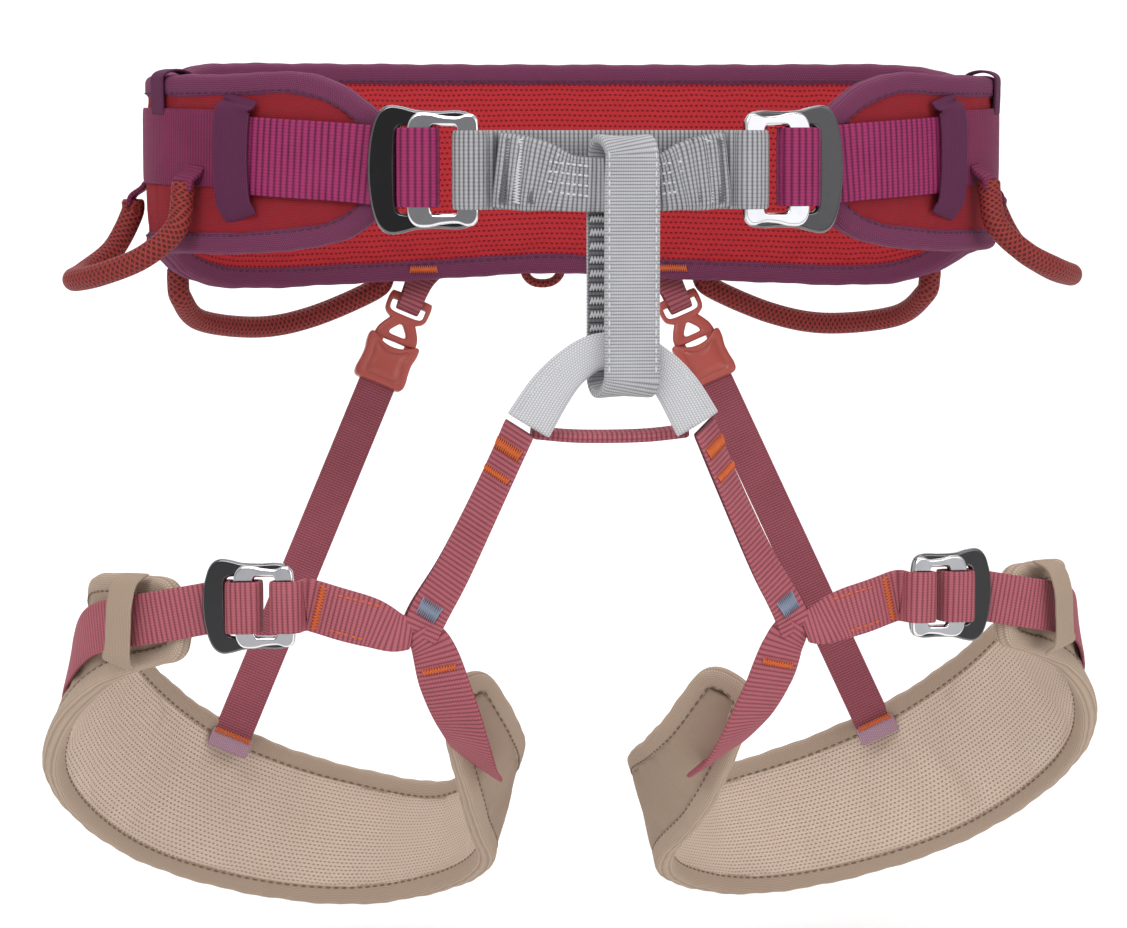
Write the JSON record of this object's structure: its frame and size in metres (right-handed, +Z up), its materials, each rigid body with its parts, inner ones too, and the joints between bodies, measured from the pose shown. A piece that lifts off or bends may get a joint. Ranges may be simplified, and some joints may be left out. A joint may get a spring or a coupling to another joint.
{
  "type": "climbing harness",
  "caption": "Sit harness with a padded waist belt, belay loop, double-back buckles, adjustable padded leg loops, rear elastic risers with clips, and gear loops.",
  "frame": {"origin": "centre of the waist ring, level with the middle of the waist webbing at the front", "axes": "+Z up, the wearer faces -Y, +X is the wearer's left-right width, to the right as seen from the front"},
  "size_m": [0.4306, 0.2292, 0.3554],
  "materials": {
    "beige_mesh": "fine mesh",
    "black_alloy": "anodised",
    "bright_alloy": "polished",
    "foam": "closed-cell foam",
    "grey_webbing": "tubular webbing",
    "magenta_webbing": "ribbed webbing",
    "orange_thread": "bar tack",
    "pale_sleeve": "plain woven sleeve",
    "plum_band": "flat tape",
    "plum_binding": "satin binding tape",
    "red_cord": "braided sleeve over a stiff tube",
    "red_mesh": "fine knitted mesh",
    "red_shell": "plain weave",
    "rose_elastic": "woven elastic",
    "rose_webbing": "ribbed webbing",
    "taupe_binding": "binding tape",
    "taupe_fabric": "plain weave",
    "terracotta_plastic": "moulded"
  },
  "bodies": {
    "waist": {"belt_bar_tacks": "orange_thread", "belt_edge_binding": "plum_binding", "belt_foam_core": "foam", "belt_mesh_lining": "red_mesh", "belt_outer_shell": "red_shell", "cross_strap": "rose_webbing", "lower_tie_in_sleeve": "pale_sleeve", "riser_tab_left": "rose_webbing", "riser_tab_right": "rose_webbing", "tie_in_neck": "grey_webbing", "tie_in_webbing": "grey_webbing", "waist_back_webbing": "magenta_webbing", "waist_buckle_frame_left": "black_alloy", "waist_buckle_frame_right": "black_alloy", "waist_strap_left": "magenta_webbing", "waist_strap_right": "magenta_webbing", "wing_keeper_left": "plum_band", "wing_keeper_right": "plum_band"},
    "belay": {"belay_loop": "grey_webbing"},
    "haul": {"haul_loop": "red_cord"},
    "leg_left": {"clip_plug_left": "terracotta_plastic", "elastic_riser_left": "rose_elastic", "front_riser_left": "rose_webbing", "inner_leg_strap_left": "rose_webbing", "leg_buckle_frame_left": "black_alloy", "leg_buckle_strap_left": "rose_webbing", "leg_pad_binding_left": "taupe_binding", "leg_pad_core_left": "foam", "leg_pad_lining_left": "beige_mesh", "leg_pad_shell_left": "taupe_fabric", "leg_strap_keeper_left": "taupe_fabric", "leg_strap_left": "rose_webbing"},
    "clip_socket_left": {"clip_socket_left": "terracotta_plastic"},
    "clip_prong_outer_left": {"clip_prong_outer_left": "terracotta_plastic"},
    "clip_prong_inner_left": {"clip_prong_inner_left": "terracotta_plastic"},
    "waist_plate_left": {"waist_buckle_plate_left": "bright_alloy"},
    "leg_plate_left": {"leg_buckle_plate_left": "bright_alloy"},
    "gear_rear_left": {"gear_loop_rear_left": "red_cord"},
    "gear_front_left": {"gear_loop_front_left": "red_cord"},
    "leg_right": {"clip_plug_right": "terracotta_plastic", "elastic_riser_right": "rose_elastic", "front_riser_right": "rose_webbing", "inner_leg_strap_right": "rose_webbing", "leg_buckle_frame_right": "black_alloy", "leg_buckle_strap_right": "rose_webbing", "leg_pad_binding_right": "taupe_binding", "leg_pad_core_right": "foam", "leg_pad_lining_right": "beige_mesh", "leg_pad_shell_right": "taupe_fabric", "leg_strap_keeper_right": "taupe_fabric", "leg_strap_right": "rose_webbing"},
    "clip_socket_right": {"clip_socket_right": "terracotta_plastic"},
    "clip_prong_outer_right": {"clip_prong_outer_right": "terracotta_plastic"},
    "clip_prong_inner_right": {"clip_prong_inner_right": "terracotta_plastic"},
    "waist_plate_right": {"waist_buckle_plate_right": "bright_alloy"},
    "leg_plate_right": {"leg_buckle_plate_right": "bright_alloy"},
    "gear_rear_right": {"gear_loop_rear_right": "red_cord"},
    "gear_front_right": {"gear_loop_front_right": "red_cord"}
  },
  "joints": [
    {"name": "leg_swing_left", "type": "hinge", "parent": "waist", "child": "leg_left", "pos_m": [-0.058, 0.09824, -0.06], "axis": [-0.1135, 0.9754, 0.1892], "range_deg": [-3, 14], "stiffness_Nm_per_rad": 0.3},
    {"name": "clip_release_left", "type": "slide", "parent": "leg_left", "child": "clip_socket_left", "axis": [-0.3963, -0.1918, -0.8979], "range_m": [0, 0.014], "stiffness_N_per_m": 20, "deforming": ["elastic_riser_left"]},
    {"name": "clip_squeeze_outer_left", "type": "hinge", "parent": "leg_left", "child": "clip_prong_outer_left", "pos_m": [-0.0711, 0.09629, -0.0734], "axis": [0, -0.9779, 0.2089], "range_deg": [0, 5], "stiffness_Nm_per_rad": 0.0005},
    {"name": "clip_squeeze_inner_left", "type": "hinge", "parent": "leg_left", "child": "clip_prong_inner_left", "pos_m": [-0.05898, 0.0952, -0.07852], "axis": [0, 0.9779, -0.2089], "range_deg": [0, 5], "stiffness_Nm_per_rad": 0.0005},
    {"name": "waist_plate_tilt_left", "type": "hinge", "parent": "waist", "child": "waist_plate_left", "pos_m": [-0.05246, -0.10508, -0.001], "axis": [0, 0, 1], "range_deg": [0, 2.5], "stiffness_Nm_per_rad": 0.1},
    {"name": "leg_plate_tilt_left", "type": "hinge", "parent": "leg_left", "child": "leg_plate_left", "pos_m": [-0.12195, -0.09176, -0.16747], "axis": [-0.0286, 0.009, 0.9995], "range_deg": [0, 2.5], "stiffness_Nm_per_rad": 0.1},
    {"name": "gear_rear_lift_left", "type": "hinge", "parent": "waist", "child": "gear_rear_left", "pos_m": [-0.06743, 0.10014, -0.044], "axis": [0.8798, 0.4753, 0], "range_deg": [0, 40], "stiffness_Nm_per_rad": 0.05},
    {"name": "gear_front_lift_left", "type": "hinge", "parent": "waist", "child": "gear_front_left", "pos_m": [-0.16038, -0.04903, -0.01], "axis": [-0.2787, 0.9482, -0.1525], "range_deg": [0, 30], "stiffness_Nm_per_rad": 0.05},
    {"name": "leg_swing_right", "type": "hinge", "parent": "waist", "child": "leg_right", "pos_m": [0.058, 0.09824, -0.06], "axis": [-0.1135, -0.9754, -0.1892], "range_deg": [-3, 14], "stiffness_Nm_per_rad": 0.3},
    {"name": "clip_release_right", "type": "slide", "parent": "leg_right", "child": "clip_socket_right", "axis": [0.3963, -0.1918, -0.8979], "range_m": [0, 0.014], "stiffness_N_per_m": 20, "deforming": ["elastic_riser_right"]},
    {"name": "clip_squeeze_outer_right", "type": "hinge", "parent": "leg_right", "child": "clip_prong_outer_right", "pos_m": [0.0711, 0.09629, -0.0734], "axis": [0, 0.9779, -0.2089], "range_deg": [0, 5], "stiffness_Nm_per_rad": 0.0005},
    {"name": "clip_squeeze_inner_right", "type": "hinge", "parent": "leg_right", "child": "clip_prong_inner_right", "pos_m": [0.05898, 0.0952, -0.07852], "axis": [0, -0.9779, 0.2089], "range_deg": [0, 5], "stiffness_Nm_per_rad": 0.0005},
    {"name": "waist_plate_tilt_right", "type": "hinge", "parent": "waist", "child": "waist_plate_right", "pos_m": [0.05246, -0.10508, -0.001], "axis": [0, 0, -1], "range_deg": [0, 2.5], "stiffness_Nm_per_rad": 0.1},
    {"name": "leg_plate_tilt_right", "type": "hinge", "parent": "leg_right", "child": "leg_plate_right", "pos_m": [0.12195, -0.09176, -0.16747], "axis": [-0.0286, -0.009, -0.9995], "range_deg": [0, 2.5], "stiffness_Nm_per_rad": 0.1},
    {"name": "gear_rear_lift_right", "type": "hinge", "parent": "waist", "child": "gear_rear_right", "pos_m": [0.06743, 0.10014, -0.044], "axis": [0.8798, -0.4753, 0], "range_deg": [0, 40], "stiffness_Nm_per_rad": 0.05},
    {"name": "gear_front_lift_right", "type": "hinge", "parent": "waist", "child": "gear_front_right", "pos_m": [0.16038, -0.04903, -0.01], "axis": [-0.2787, -0.9482, 0.1525], "range_deg": [0, 30], "stiffness_Nm_per_rad": 0.05},
    {"name": "belay_shift", "type": "slide", "parent": "waist", "child": "belay", "axis": [1, 0, 0], "range_m": [-0.003, 0]},
    {"name": "haul_lift", "type": "hinge", "parent": "waist", "child": "haul", "pos_m": [0, 0.1045, -0.04], "axis": [1, 0, 0], "range_deg": [0, 45], "stiffness_Nm_per_rad": 0.01}
  ],
  "couplings": [
    {"joint": "clip_squeeze_inner_left", "follows": "clip_squeeze_outer_left", "ratio": 1},
    {"joint": "clip_squeeze_inner_right", "follows": "clip_squeeze_outer_right", "ratio": 1}
  ]
}
